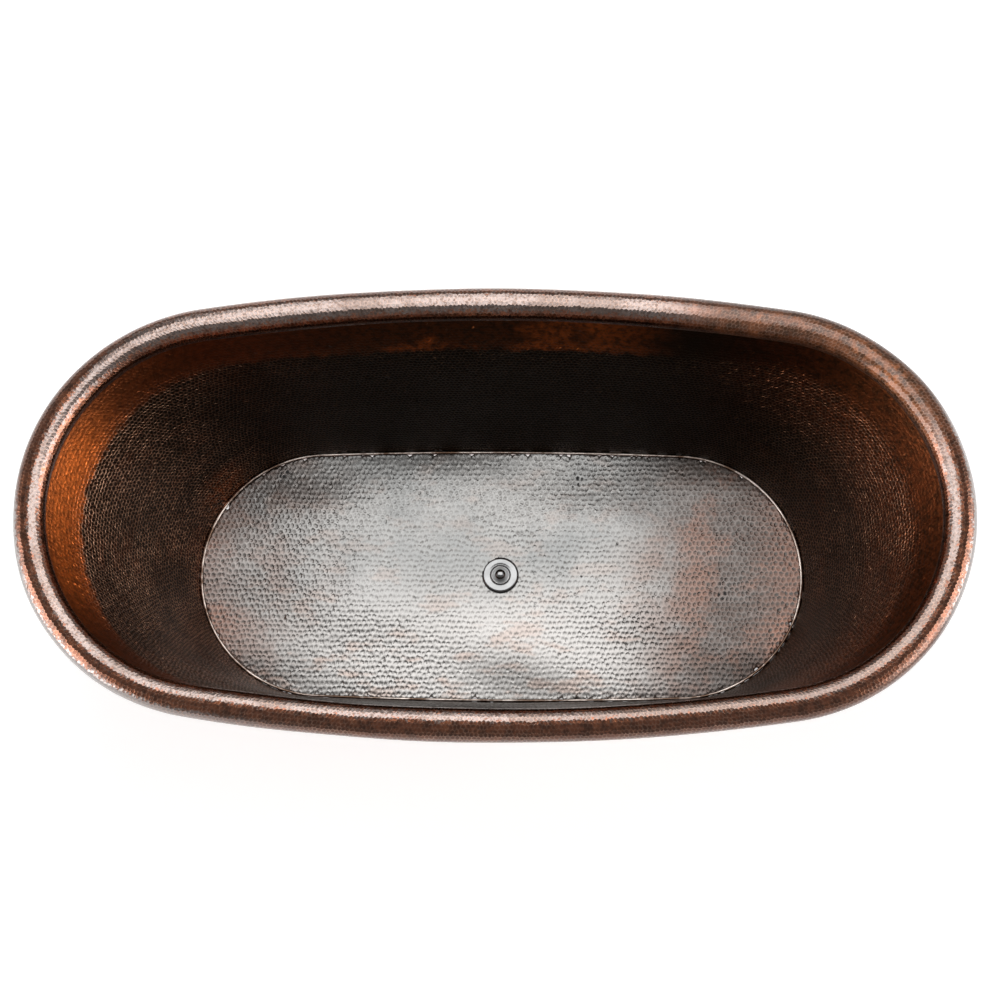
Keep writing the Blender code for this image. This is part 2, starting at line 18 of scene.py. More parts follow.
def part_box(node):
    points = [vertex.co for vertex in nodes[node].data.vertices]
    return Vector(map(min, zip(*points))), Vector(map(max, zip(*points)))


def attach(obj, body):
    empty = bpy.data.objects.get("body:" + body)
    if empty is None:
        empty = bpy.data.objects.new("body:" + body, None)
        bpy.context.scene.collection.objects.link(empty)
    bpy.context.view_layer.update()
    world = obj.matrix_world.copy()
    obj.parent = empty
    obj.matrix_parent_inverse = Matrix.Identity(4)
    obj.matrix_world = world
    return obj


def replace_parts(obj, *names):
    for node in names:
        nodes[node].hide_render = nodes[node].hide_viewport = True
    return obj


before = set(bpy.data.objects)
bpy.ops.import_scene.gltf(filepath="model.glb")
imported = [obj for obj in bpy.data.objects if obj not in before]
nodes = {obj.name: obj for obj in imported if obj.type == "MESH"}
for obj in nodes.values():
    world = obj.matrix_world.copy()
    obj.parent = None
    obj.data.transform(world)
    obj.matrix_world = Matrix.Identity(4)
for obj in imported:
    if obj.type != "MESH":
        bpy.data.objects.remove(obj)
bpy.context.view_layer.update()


# %% [markdown]
# ## Sizes
#
# Every size that the CAD part can give is measured from it, so that this model can't drift away
# from the moving bodies. Only what a box can't tell is written down: how far the long sides bow
# out, the sheet's thickness, and how the wall flares below the rim.

# %% Measure the CAD part
SHEET = 0.002               # thickness of the metal
RIM_BOW = 0.038             # how far the rim's long sides bow out
FLOOR_BOW = 0.007           # how far the floor's long sides bow out
FLOOR_HEM = 0.003           # the floor sheet's edge is this far past the wall's inner face
NECK_SHARE = 0.10           # share of the wall's flare that is kept for the neck
NECK_POWER = 6              # how late the neck takes it
ROLL_SLOT = 0.004           # the slot under the roll

rim_low, rim_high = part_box("rim_roll")
LENGTH = rim_high.x - rim_low.x
WIDTH = rim_high.y - rim_low.y
RIM_RADIUS = (rim_high.z - rim_low.z) / 2
RIM_Z = rim_high.z - RIM_RADIUS
floor_low, floor_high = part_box("floor_sheet")
FLOOR_TOP = floor_high.z
FLOOR_LENGTH = floor_high.x - floor_low.x - 2 * FLOOR_HEM
FLOOR_WIDTH = floor_high.y - floor_low.y - 2 * FLOOR_HEM
print(f"rim {LENGTH:.3f} by {WIDTH:.3f} m, roll {2 * RIM_RADIUS:.3f} m thick")
print(f"floor {FLOOR_LENGTH:.3f} by {FLOOR_WIDTH:.3f} m, {FLOOR_TOP:.3f} m up")


# %% [markdown]
# ## The outline
#
# Seen from above the tub is an oval of four arcs: two tight ones round the ends and two very long
# ones down the sides, which meet without a corner. A scaled circle would be too pointed, and two
# straight sides would look dead. The function takes a share of the way round, so that marks laid at
# even shares come out evenly spaced along the metal.

# %% The four-arc oval
def oval(share, half_length, half_width, bow):
    """Points (x, y) at shares 0..1 of the way round, from the +X end, anticlockwise."""
    end_round = half_width - bow
    reach = half_length - end_round
    side_round = (reach ** 2 + half_width ** 2 - end_round ** 2) / (2 * bow)
    drop = side_round - half_width
    join = np.arctan2(drop, reach)
    end_run = end_round * join
    side_run = side_round * (math.pi / 2 - join)
    turned = np.mod(share, 1.0) * 4
    folded = np.mod(turned, 2.0)
    run = np.where(folded > 1, 2 - folded, folded) * (end_run + side_run)
    on_end = run < end_run
    angle = np.where(on_end, run / end_round, join + (run - end_run) / side_round)
    x = np.where(on_end, reach + end_round * np.cos(angle), side_round * np.cos(angle))
    y = np.where(on_end, end_round * np.sin(angle), side_round * np.sin(angle) - drop)
    x = np.where((turned > 1) & (turned < 3), -x, x)
    y = np.where(turned > 2, -y, y)
    return x, y


def floor_oval(share, grown):
    return oval(share, FLOOR_LENGTH / 2 + grown, FLOOR_WIDTH / 2 + grown, FLOOR_BOW)


outline = oval(np.linspace(0, 1, 2000), LENGTH / 2, WIDTH / 2, RIM_BOW)
girth = float(np.hypot(np.diff(outline[0]), np.diff(outline[1])).sum())
print(f"once round the rim is {girth:.2f} m")


# %% [markdown]
# ## Hammer marks as a mesh
#
# A smith works along the sheet in rows, and each blow leaves a shallow cup that meets its
# neighbours in a sharp ridge. Bump mapping alone would leave the metal smooth at its edges and in
# its highlights, and a dense grid with displacement needs millions of faces before a ridge is
# crisp. So the mesh is the pattern itself: one six-sided cup for each blow, laid like bricks, with
# its centre pushed in and its ridge left up. The ridge edges are marked sharp, so that each cup
# shades on its own. Every blow lands a little off, which keeps it from looking like honeycomb.

# %% The cups' corners
def column_at(number, halves, closed):
    """A column's number, going round a closed pattern and stopping at an open one's edge."""
    return np.mod(number, halves) if closed else np.clip(number, 0, halves)


def cup_corners(rows, halves, closed, off_u, off_v):
    """Where three cups meet, moved by the mean of what their blows were off by."""
    k = np.arange(off_u.shape[1])
    corner_u = np.empty((rows + 1, len(k)))
    corner_v = np.empty((rows + 1, len(k)))
    for line in range(rows + 1):
        if line in (0, rows):
            corner_u[line] = k / halves
            corner_v[line] = line / rows
            continue
        below, above = line - 1, line
        point_up = (k % 2 == 1) == (below % 2 == 0)
        lone, pair = np.where(point_up, below, above), np.where(point_up, above, below)
        before, after = column_at(k - 1, halves, closed), column_at(k + 1, halves, closed)
        sides = [(lone, k), (pair, before), (pair, after)]
        corner_u[line] = k / halves + sum(off_u[side] for side in sides) / 3
        tilt = np.where(point_up, 1, -1) / 6
        corner_v[line] = (line + tilt) / rows + sum(off_v[side] for side in sides) / 3
    if not closed:
        corner_u[:, 0], corner_u[:, -1] = 0.0, 1.0
    return np.stack([corner_u.ravel(), corner_v.ravel()], 1)


# %% The cups' centres and rings
def cup_rings(rows, halves, closed, off_u, off_v):
    """Each cup's centre, and the numbers of the corners round it."""
    across = off_u.shape[1]
    centre_u, centre_v, rings = [], [], []
    for row in range(rows):
        first = 1 if row % 2 == 0 else 0
        for place in range(first, across, 2):
            steps = [place - 1, place, place + 1]
            if not closed:
                steps = [step for step in steps if 0 <= step <= halves]
            steps = [int(column_at(step, halves, closed)) for step in steps]
            ring = [row * across + step for step in steps]
            ring += [(row + 1) * across + step for step in reversed(steps)]
            rings.append(ring)
            inward = 0.0 if len(steps) == 3 else (0.5 if place == 0 else -0.5)
            centre_u.append((place + inward) / halves + off_u[row, place])
            centre_v.append((row + 0.5) / rows + off_v[row, place] * (len(steps) == 3))
    return np.stack([centre_u, centre_v], 1), rings


def hammer_pattern(columns, rows, closed, seed, wander=0.30):
    """Corners and centres of the cups, as (u, v) in 0..1, with each cup's ring of corners.
    A blow lands off its place by up to wander, as a share of a cup."""
    rng = np.random.RandomState(seed)
    halves = 2 * columns
    across = halves if closed else halves + 1
    off_u = wander / columns * rng.uniform(-1, 1, (rows, across))
    off_v = wander / rows * rng.uniform(-1, 1, (rows, across))
    layout = (rows, halves, closed, off_u, off_v)
    return cup_corners(*layout), *cup_rings(*layout)


sample_corners, sample_centres, _ = hammer_pattern(12, 5, True, 1)
print(f"a sample of {len(sample_centres)} cups shares {len(sample_corners)} corners")


# %% [markdown]
# ## From marks to sheet metal
#
# A pattern is flat, and a surface function bends it into the wall, the roll or the floor. Both
# faces of the sheet get cups, because planishing marks both sides, and the two are closed along
# their edges, so each piece is a real 2 mm sheet and not a paper-thin skin. Each point remembers
# how near a ridge it is, how its blow turned out, which side of its cup it is on and how far up
# the piece it sits. The patina reads that, and so do the painted highlight and painted shade.

# %% Pieces, surfaces and slow waves
def new_piece(name, points, faces, looks):
    """An object from points and faces, with a list of materials."""
    mesh = bpy.data.meshes.new(name)
    mesh.from_pydata(points, [], faces)
    for look in looks:
        mesh.materials.append(look)
    made = bpy.data.objects.new(name, mesh)
    bpy.context.scene.collection.objects.link(made)
    return made


def facing(surface, u, v, step=1e-4):
    """Points of a surface, and which way it faces there."""
    here = np.stack(surface(u, v), 1)
    along = np.stack(surface(u + step, v), 1) - np.stack(surface(u - step, v), 1)
    up = np.stack(surface(u, v + step), 1) - np.stack(surface(u, v - step), 1)
    way = np.cross(along, up)
    return here, way / np.linalg.norm(way, axis=1, keepdims=True)


def slow_swell(points, seed, wavelength, count=7):
    """A smooth wandering height of about -1..1, from a few long waves."""
    rng = np.random.RandomState(seed)
    height = np.zeros(len(points))
    for _ in range(count):
        way = rng.normal(size=3)
        way *= math.tau / wavelength * rng.uniform(0.6, 1.5) / np.linalg.norm(way)
        height += np.sin(points @ way + rng.uniform(0, math.tau))
    return height / math.sqrt(count)


# %% Strike the cups
HARD, SOFT = 1.25, 0.55     # the deepest and the shallowest blow
HALFWAY = 0.72              # how deep a rounded cup is halfway out from its centre


def strike(pattern, seed, keep, rounded):
    """The pattern's flat points, the marks that they carry, and the faces of its cups."""
    corners, centres, rings = pattern
    rng = np.random.RandomState(seed)
    blows = rng.uniform(SOFT, HARD, len(centres))
    if keep is not None:
        chosen = np.flatnonzero(keep)
        rings = [rings[number] for number in chosen]
        centres, blows = centres[chosen], blows[chosen]
    flat = [*corners, *centres]
    marks = {"ridge": [1.0] * len(corners) + [0.0] * len(centres),
             "cup": [0.0] * len(corners) + list(blows),
             "tone": [0.5] * len(corners) + list(rng.uniform(0, 1, len(centres))),
             "lean": [0.0] * len(flat)}
    faces = []
    for number, ring in enumerate(rings):
        centre = len(corners) + number
        inner = ring
        if rounded:
            inner = list(range(len(flat), len(flat) + len(ring)))
            flat += [(centres[number] + corners[corner]) / 2 for corner in ring]
            marks["ridge"] += [0.5] * len(ring)
            marks["cup"] += [HALFWAY * blows[number]] * len(ring)
            marks["tone"] += [marks["tone"][centre]] * len(ring)
            # Which side of its cup a point is on, for the painted shade in the floor's cups.
            marks["lean"] += [float(corners[corner][1] > centres[number][1]) for corner in ring]
        for step, corner in enumerate(ring):
            following = (step + 1) % len(ring)
            faces.append((centre, inner[step], inner[following]))
            if rounded:
                faces.append((inner[step], corner, ring[following], inner[following]))
    return np.array(flat), {name: np.array(values) for name, values in marks.items()}, faces


def drop_unused(flat, marks, faces, shape):
    """Leaves out the points that no face uses. shape may move the points that stay."""
    used = np.zeros(len(flat), bool)
    for face in faces:
        used[list(face)] = True
    if shape is not None:
        flat = shape(flat, used)
    number_of = np.cumsum(used) - 1
    faces = [tuple(int(number_of[point]) for point in face) for face in faces]
    return flat[used], {name: values[used] for name, values in marks.items()}, faces


# %% Close the sheet
def closed_sheet(name, front, back, faces, outward, looks):
    """A solid sheet from its front and back points. The back takes the last of the looks."""
    first = faces[0]
    turn = np.cross(front[first[1]] - front[first[0]], front[first[2]] - front[first[0]])
    if turn @ outward[first[0]] < 0:
        faces = [face[::-1] for face in faces]
    count = len(front)
    edges = dict.fromkeys(edge for face in faces for edge in zip(face, face[1:] + face[:1]))
    hems = [(end, start, start + count, end + count) for start, end in edges
            if (end, start) not in edges]
    backs = [tuple(point + count for point in reversed(face)) for face in faces]
    made = new_piece(name, np.concatenate([front, back]), faces + backs + hems, looks)
    made.data.shade_smooth()
    material = np.zeros(len(made.data.polygons), np.int32)
    material[len(faces):len(faces) + len(backs)] = len(looks) - 1
    made.data.polygons.foreach_set("material_index", material)
    return made


def sharpen_ridges(mesh, on_ridge):
    """Marks the edges between two ridge points sharp."""
    ends = np.empty(2 * len(mesh.edges), np.int32)
    mesh.edges.foreach_get("vertices", ends)
    sharp = np.concatenate([on_ridge, on_ridge])[ends.reshape(-1, 2)].all(1)
    mesh.attributes.new("sharp_edge", "BOOLEAN", "EDGE").data.foreach_set("value", sharp)


# %% Beat a sheet
SWELL_WAVE, FORCE_WAVE = 0.22, 0.30     # how far apart the sheet's swells and the hard spells are
NECK_BLEND = 0.10                       # share of the height in which the blows grow lighter


def beaten_sheet(name, pattern, surface, looks, seed, depth, back_depth, swell, side=1,
                 keep=None, rounded=False, shape=None, smooth_above=None):
    """A closed sheet of hammered cups. side=1 puts the shown face where the surface faces."""
    flat, marks, faces = drop_unused(*strike(pattern, seed, keep, rounded), shape)
    here, way = facing(surface, flat[:, 0], flat[:, 1])
    way *= side
    calm = np.ones(len(flat))
    if smooth_above is not None:
        calm -= 0.5 * np.clip((flat[:, 1] - smooth_above) / NECK_BLEND, 0, 1)
    force = np.clip(0.8 + 0.35 * slow_swell(here, seed + 2, FORCE_WAVE), 0.35, 1.5)
    cup = marks["cup"] * (calm * force)
    rise = swell * slow_swell(here, seed + 1, SWELL_WAVE)
    front = here + way * (rise - depth * cup)[:, None]
    back = here + way * (rise - SHEET + back_depth * cup)[:, None]
    made = closed_sheet(name, front, back, faces, way, looks)
    if not rounded:
        sharpen_ridges(made.data, marks["ridge"] == 1)
    for mark, values in (("ridge", marks["ridge"] * calm), ("tone", marks["tone"]),
                         ("lean", marks["lean"]), ("rise", flat[:, 1])):
        written = made.data.attributes.new(mark, "FLOAT", "POINT")
        written.data.foreach_set("value", np.concatenate([values, values]))
    print(f"{name}: {len(made.data.vertices)} points, {len(made.data.polygons)} faces")
    return made


# %% [markdown]
# ## Writing materials as sums
#
# Shader nodes are easier to read as arithmetic. A Wire wraps one output socket, and adding or
# multiplying wires adds the Math nodes. A Finish is one material: it makes any other node from its
# type, its settings and what goes into its sockets, and blends colours with Mix nodes.

# %% Wires and finishes
def plug(socket, value):
    """Puts a number, a colour, a vector, or another node's output into a socket."""
    if isinstance(value, Wire):
        socket.id_data.links.new(value.socket, socket)
    elif isinstance(value, tuple) and len(socket.default_value) == 4:
        socket.default_value = (*value, 1.0)
    else:
        socket.default_value = value


class Nodes:
    """A node tree that makes any node from its type, its settings and its sockets."""

    def __init__(self, tree):
        self.tree = tree

    def node(self, kind, settings, sockets, output=0):
        node = self.tree.nodes.new(f"ShaderNode{kind}")
        for name, value in settings.items():
            setattr(node, name, value)
        for name, value in sockets.items():
            plug(node.inputs[name], value)
        return Wire(node.outputs[output])


class Wire:
    """One output of a shader node. Arithmetic on it adds Math nodes."""

    def __init__(self, socket):
        self.socket = socket

    def maths(self, operation, first, second=0.0):
        return Nodes(self.socket.id_data).node("Math", {"operation": operation},
                                               {0: first, 1: second})

    def __add__(self, other):
        return self.maths("ADD", self, other)

    def __sub__(self, other):
        return self.maths("SUBTRACT", self, other)

    def __rsub__(self, other):
        return self.maths("SUBTRACT", other, self)

    def __mul__(self, other):
        return self.maths("MULTIPLY", self, other)

    def __pow__(self, power):
        return self.maths("POWER", self, power)

    def __neg__(self):
        return self * -1.0

    def __abs__(self):
        return self.maths("ABSOLUTE", self)

    __radd__ = __add__
    __rmul__ = __mul__

    def between(self, low, high):
        """0 at low, 1 at high, easing in and out."""
        return Nodes(self.socket.id_data).node(
            "MapRange", {"interpolation_type": "SMOOTHSTEP"},
            {"Value": self, "From Min": low, "From Max": high})


class Finish(Nodes):
    """A material built around one Principled shader."""

    def __init__(self, name, fixed):
        self.material = bpy.data.materials.new(name)
        self.material.use_nodes = True
        super().__init__(self.material.node_tree)
        self.set(fixed)
        self.place = self.node("TexCoord", {}, {}, "Object")

    def set(self, sockets):
        for name, value in sockets.items():
            plug(self.tree.nodes["Principled BSDF"].inputs[name], value)

    def noise(self, scale, stretch=(1.0, 1.0, 1.0)):
        """Cloudy noise of about 0..1, scale to a metre."""
        where = self.node("VectorMath", {"operation": "MULTIPLY"}, {0: self.place, 1: stretch})
        return self.node("TexNoise", {}, {"Vector": where, "Scale": scale, "Detail": 4.0,
                                          "Roughness": 0.6})

    def mark(self, name):
        """A value that the hammered mesh carries on its points."""
        return self.node("Attribute", {"attribute_name": name}, {}, "Fac")

    def axis(self, letter):
        return self.node("SeparateXYZ", {}, {0: self.place}, letter)

    def blend(self, share, first, second):
        """Goes from the first colour to the second."""
        return self.node("Mix", {"data_type": "RGBA"}, {0: share, 6: first, 7: second}, 2)

    def near(self, x, y, z, reach):
        """1 at a point of the tub, fading to 0 at a distance."""
        away = self.node("VectorMath", {"operation": "DISTANCE"}, {0: self.place, 1: (x, y, z)},
                         "Value")
        return away.between(reach, 0.0)

    def bump(self, height, distance, strength, over=None):
        sockets = {"Height": height, "Distance": distance, "Strength": strength}
        return self.node("Bump", {}, sockets | ({"Normal": over} if over else {}))


# %% [markdown]
# ## Patinated copper
#
# The copper is darkened with a patina that stays in the bottoms of the cups and wears thin on
# the ridges, where bright metal shows. It is a metal all through, so it is made as a fully metallic
# surface whose colour is almost black in the cups and copper on the ridges, with slow clouds where
# the torch lingered, and a thin clear coat for the wax. The walls, rim and outside share the
# recipe, and each says how dark it is and where the heat has left it orange. Light and shade are
# painted in too: painted highlight on the walls' ridges and painted light on their neck, and on the
# rim painted highlight streaks and painted shade on the roll's outer side.

# %% The patina recipe
CUP_BLACK = (0.012, 0.008, 0.005)
OLIVE_BLACK = (0.034, 0.023, 0.012)
DARK_BROWN = (0.066, 0.024, 0.011)
RIM_BROWN = (0.110, 0.038, 0.018)
CROWN_BROWN = (0.115, 0.070, 0.052)
WARM_BROWN = (0.260, 0.088, 0.042)
RED_BROWN = (0.33, 0.088, 0.028)
COPPER = (0.92, 0.225, 0.045)
RIM_COPPER = (0.52, 0.185, 0.070)
PINK_COPPER = (0.255, 0.200, 0.182)
# A painted highlight on the roll's outer side.
OUTER_HIGHLIGHT_GREY = (0.32, 0.29, 0.28)
# The walls' ridge colour: bare copper and painted highlight.
INSIDE_RIDGE = (1.0, 0.58, 0.38)
RIM_RIDGE = (0.66, 0.42, 0.31)
OUTSIDE_RIDGE = (0.62, 0.36, 0.26)


def copper_finish(name, base, ridge_wear_and_highlight, network, roughness, cup_bump, grain, wax, dull=None):
    """Patinated copper. base, network and dull are functions of the finish: its colour below the
    ridges, how far the ridges show the ridge_wear_and_highlight colour, bare copper that on the
    walls is also painted highlight, and added roughness."""
    look = Finish(name, {"Metallic": 1.0, "Coat Weight": wax, "Coat Roughness": 0.14})
    ridge = look.mark("ridge")
    specks = look.noise(160.0)
    # The ridges take their colour of bare copper, which on the walls is also painted highlight.
    lines = ridge ** 6 * specks.between(0.30, 0.56) * network(look)
    rough = roughness + 0.12 * specks
    look.set({"Base Color": look.blend(lines, base(look), ridge_wear_and_highlight),
              "Roughness": rough + dull(look) if dull else rough})
    look.set({"Normal": look.bump(ridge ** 2, cup_bump, 1.0, look.bump(specks, grain, 0.6))})
    return look.material


# %% The walls' patina
def neck_band(look):
    """1 on the neck under the roll, with a ragged lower edge."""
    return (look.mark("rise") + 0.09 * (look.noise(38.0) - 0.5)).between(0.795, 0.835)


def browned_ends(look):
    """How brown each end of the wall is, less so on the far side."""
    x = look.axis("X")
    ends = 0.8 * (-x).between(0.20, 0.64) + 0.6 * x.between(0.24, 0.68)
    cloudy = 0.55 + 0.45 * look.noise(6.0).between(0.35, 0.65)
    return ends * cloudy * (1 - 0.5 * look.axis("Y").between(0.04, 0.26))


def painted_neck_light(look, neck, mottle):
    """Painted light: bright orange copper where light falls on the left neck, part of the far neck
    and low on the left, weaker just under the roll, in its shade.
    """
    x, y = look.axis("X"), look.axis("Y")
    # Less of the painted light just under the roll, where the roll's shade falls.
    below_roll = (-look.mark("rise")).between(-1.0, -0.93)
    left = neck * (-x).between(0.60, 0.78) * (-abs(y)).between(-0.26, -0.10)
    left = left * (0.50 + 0.50 * mottle) * (0.35 + 0.65 * below_roll)
    far = neck * y.between(0.28, 0.34) * (-abs(x + 0.02)).between(-0.40, -0.20)
    far = far * (0.12 + 0.4 * look.noise(6.0).between(0.42, 0.58)) * (0.5 + mottle)
    return left + far + 0.4 * look.near(-0.60, 0.19, 0.10, 0.10) * mottle


def inside_colour(look):
    x, y = look.axis("X"), look.axis("Y")
    neck, ends = neck_band(look), browned_ends(look)
    mottle = look.noise(80.0).between(0.34, 0.62)
    colour = look.blend(ends, OLIVE_BLACK, DARK_BROWN)
    blushes = look.noise(9.0, stretch=(1.0, 1.0, 2.5)).between(0.50, 0.66)
    colour = look.blend(blushes * ends * 0.45, colour, RED_BROWN)
    colour = look.blend((1 - look.mark("ridge")) * (1 - neck) * 0.8, colour, CUP_BLACK)
    near_side = 0.5 * (-y).between(0.05, 0.25) * x.between(0.0, 0.4)
    warm_right = look.mark("rise").between(0.35, 0.80) * (x.between(0.35, 0.70) + near_side)
    colour = look.blend(warm_right * (0.15 + 0.45 * mottle), colour, RED_BROWN)
    warm_left = neck * (-x).between(0.20, 0.50)
    colour = look.blend(warm_left * (0.45 + 0.35 * mottle), colour, RED_BROWN)
    # Painted light: the lit parts of the neck turned bright orange copper.
    return look.blend(painted_neck_light(look, neck, mottle), colour, COPPER)


def inside_ridge_wear_and_highlight(look):
    """Painted highlight on the ridges, over bare copper: they show most at the two ends, and least
    on the far side.
    """
    x = look.axis("X")
    ends = (-x).between(0.25, 0.62) + 0.55 * x.between(0.30, 0.68)
    patchy = 0.45 + 0.55 * look.noise(12.0).between(0.40, 0.60)
    return 0.10 + 0.90 * ends * patchy * (1 - 0.65 * look.axis("Y").between(0.05, 0.28))


inside_look = copper_finish("wall_patina_and_painted_light", inside_colour, INSIDE_RIDGE, inside_ridge_wear_and_highlight,
                            roughness=0.32, cup_bump=0.0008, grain=0.0011, wax=0.06)
print("walls:", len(inside_look.node_tree.nodes), "nodes")


# %% The rim's patina
def dull_patch(look):
    """1 on part of the rim's far right, which is darker and rougher and has no painted crown
    highlight.
    """
    return look.near(0.64, 0.34, 0.63, 0.40).between(0.0, 0.5)


def crown_wear_and_highlight(look, frayed, clouds):
    """The inner half of the roll's top, polished by sleeves and cloths and painted with a pale
    highlight streak, and its colour.
    """
    x, y = look.axis("X"), look.axis("Y")
    # Painted highlight: the streak sits a little further out on the far side, and is fainter on the
    # near right.
    far = y.between(0.18, 0.36) * (1 - x.between(0.25, 0.60))
    outer = 0.50 - 0.09 * far
    crown = (frayed - outer).between(-0.005, 0.020) * (1 - frayed.between(0.595, 0.625))
    blotches = look.noise(170.0).between(0.34, 0.54) * (0.45 + 0.55 * clouds.between(0.36, 0.48))
    blotches = blotches * (1 - 0.6 * x.between(0.0, 0.30) * (-y).between(0.0, 0.2))
    return crown * (1 - dull_patch(look)), look.blend(blotches, CROWN_BROWN, PINK_COPPER)


def rim_colour(look):
    x, y = look.axis("X"), look.axis("Y")
    clouds, mottle = look.noise(9.0), look.noise(60.0)
    ragged = 0.20 * (look.noise(150.0) - 0.5)
    frayed = look.mark("rise") + ragged - 0.02 * (1 - look.mark("ridge"))
    colour = look.blend(mottle.between(0.35, 0.60), RIM_BROWN, WARM_BROWN)
    colour = look.blend(0.55 * dull_patch(look), colour, OLIVE_BLACK)
    torch = look.near(0.70, 0.25, 0.63, 0.24)
    hot = (0.25 * clouds.between(0.50, 0.62) + 0.20 * torch) * mottle.between(0.38, 0.60)
    colour = look.blend(hot, colour, RIM_COPPER)
    # Painted shade: the roll's underside and lower outer side darkened to dark brown.
    colour = look.blend((-frayed).between(-0.44, -0.35) * 0.75, colour, DARK_BROWN)
    # Painted highlight: a grey streak down the roll's outer side at the near left and the right
    # end.
    painted_outer_highlight = (-x).between(0.25, 0.80) * (-y).between(-0.06, 0.03) + x.between(0.80, 0.86)
    colour = look.blend(painted_outer_highlight * (-frayed).between(-0.385, -0.355), colour, OUTER_HIGHLIGHT_GREY)
    # The crown's pale streak: painted highlight over polished copper.
    crown, crown_colour = crown_wear_and_highlight(look, frayed, clouds)
    return look.blend(crown, colour, crown_colour)


def rim_network(look):
    return 0.22 + 0.20 * look.noise(5.0).between(0.40, 0.60)


def rim_dull(look):
    return 0.28 * dull_patch(look)


rim_look = copper_finish("rim_patina_and_painted_light", rim_colour, RIM_RIDGE, rim_network, roughness=0.20,
                         cup_bump=0.0001, grain=0.0005, wax=0.8, dull=rim_dull)
print("rim:", len(rim_look.node_tree.nodes), "nodes")


# %% The outside's patina
def outside_colour(look):
    clouds, mottle = look.noise(4.0), look.noise(45.0)
    colour = look.blend(mottle.between(0.35, 0.62), RIM_BROWN, WARM_BROWN)
    hot = clouds.between(0.50, 0.66) * mottle.between(0.42, 0.62) * 0.7
    return look.blend(hot, colour, RIM_COPPER)


def outside_network(look):
    return 0.35 + 0.35 * look.noise(7.0).between(0.38, 0.62)


outside_look = copper_finish("outside_patina", outside_colour, OUTSIDE_RIDGE, outside_network,
                             roughness=0.27, cup_bump=0.0007, grain=0.0004, wax=0.5)
print("outside:", len(outside_look.node_tree.nodes), "nodes")


# %% [markdown]
# ## The floor's worn copper
#
# Water, feet and polishing have taken the patina off the floor, so it is a silvery grey with pink
# copper showing through in clouds, and darker and rustier towards the two ends, most of all at the
# right. Every cup has a dark crescent of painted shade on its far side, and those crescents are
# what makes the rows of blows easy to see.

# %% The floor's colours
SILVER = (0.170, 0.172, 0.169)
PALE_SILVER = (0.225, 0.221, 0.214)
BRIGHT_SILVER = (0.330, 0.315, 0.302)
FLOOR_PINK = (0.29, 0.185, 0.140)
FLOOR_RUST = (0.155, 0.062, 0.034)
FLOOR_DARK = (0.050, 0.032, 0.025)
DENT_SHADE = (0.040, 0.036, 0.032)


def floor_base(look, ends, right):
    """Silver, with pink copper on the near side, and dark and rusty ends."""
    x, y = look.axis("X"), look.axis("Y")
    drift = look.noise(11.0, stretch=(1.0, 2.2, 1.0))
    colour = look.blend(look.noise(5.0).between(0.35, 0.65), SILVER, PALE_SILVER)
    colour = look.blend((-y).between(-0.06, 0.14) * (1 - ends) * 0.8, colour, BRIGHT_SILVER)
    edges = 0.30 * (-y).between(-0.05, 0.25) + 0.25 * ends
    pink = drift.between(0.52, 0.66) * (0.15 + edges) * (1 - 0.55 * right)
    colour = look.blend(pink, colour, FLOOR_PINK)
    colour = look.blend((ends + 0.9 * right) * (0.22 + 0.60 * drift), colour, FLOOR_DARK)
    rust = look.noise(8.0).between(0.46, 0.64) + 0.8 * abs(x).between(0.50, 0.63)
    return look.blend((ends + 0.5 * right) * rust * 0.55, colour, FLOOR_RUST)


# %% The floor's finish
def floor_finish():
    look = Finish("worn_floor_and_painted_shade", {"Metallic": 1.0, "Coat Weight": 0.5, "Coat Roughness": 0.2})
    x, ridge, tone = look.axis("X"), look.mark("ridge"), look.mark("tone")
    ends, right = abs(x + 0.05).between(0.22, 0.62), x.between(0.22, 0.46)
    colour = floor_base(look, ends, right)
    colour = look.blend(ridge ** 4 * ends * (0.25 - 0.08 * right), colour, BRIGHT_SILVER)
    dents = (1 - ridge) * (0.05 + 0.60 * ends + 0.30 * right) * (0.4 + tone)
    colour = look.blend(dents, colour, FLOOR_DARK)
    blotches = look.noise(16.0).between(0.35, 0.65)
    # Painted shade: a dark crescent on the far side of every cup.
    painted_cup_shade = look.mark("lean") * (0.55 + 0.40 * ends + 0.45 * blotches) * (0.45 + 0.55 * tone)
    specks = look.noise(180.0)
    look.set({"Base Color": look.blend(painted_cup_shade, colour, DENT_SHADE),
              "Roughness": 0.20 + 0.16 * specks,
              "Normal": look.bump(specks, 0.0002, 0.5)})
    return look.material


floor_look = floor_finish()
print("floor:", len(floor_look.node_tree.nodes), "nodes")


# %% [markdown]
# ## The wall
#
# The wall is two half sheets that meet at the ends of the tub. It leans out from the floor's oval
# to the rim's, a little more steeply in its last hand's breadth, which makes the flared neck under
# the roll. A loft between two curves would give that shape too, but a function of the way round
# and the height also tells each blow where to land. The rows of blows run level, parallel to the
# rim, as the smith worked round it, and they are lighter on the neck.

# %% The wall's surface
RIM_MEETS = math.radians(225)           # where round the roll the wall meets it
WALL_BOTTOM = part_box("wall_sheet_rear")[0].z
WALL_TOP = RIM_Z + RIM_RADIUS * math.sin(RIM_MEETS)
WALL_REACH = RIM_RADIUS * math.cos(RIM_MEETS) - RIM_RADIUS


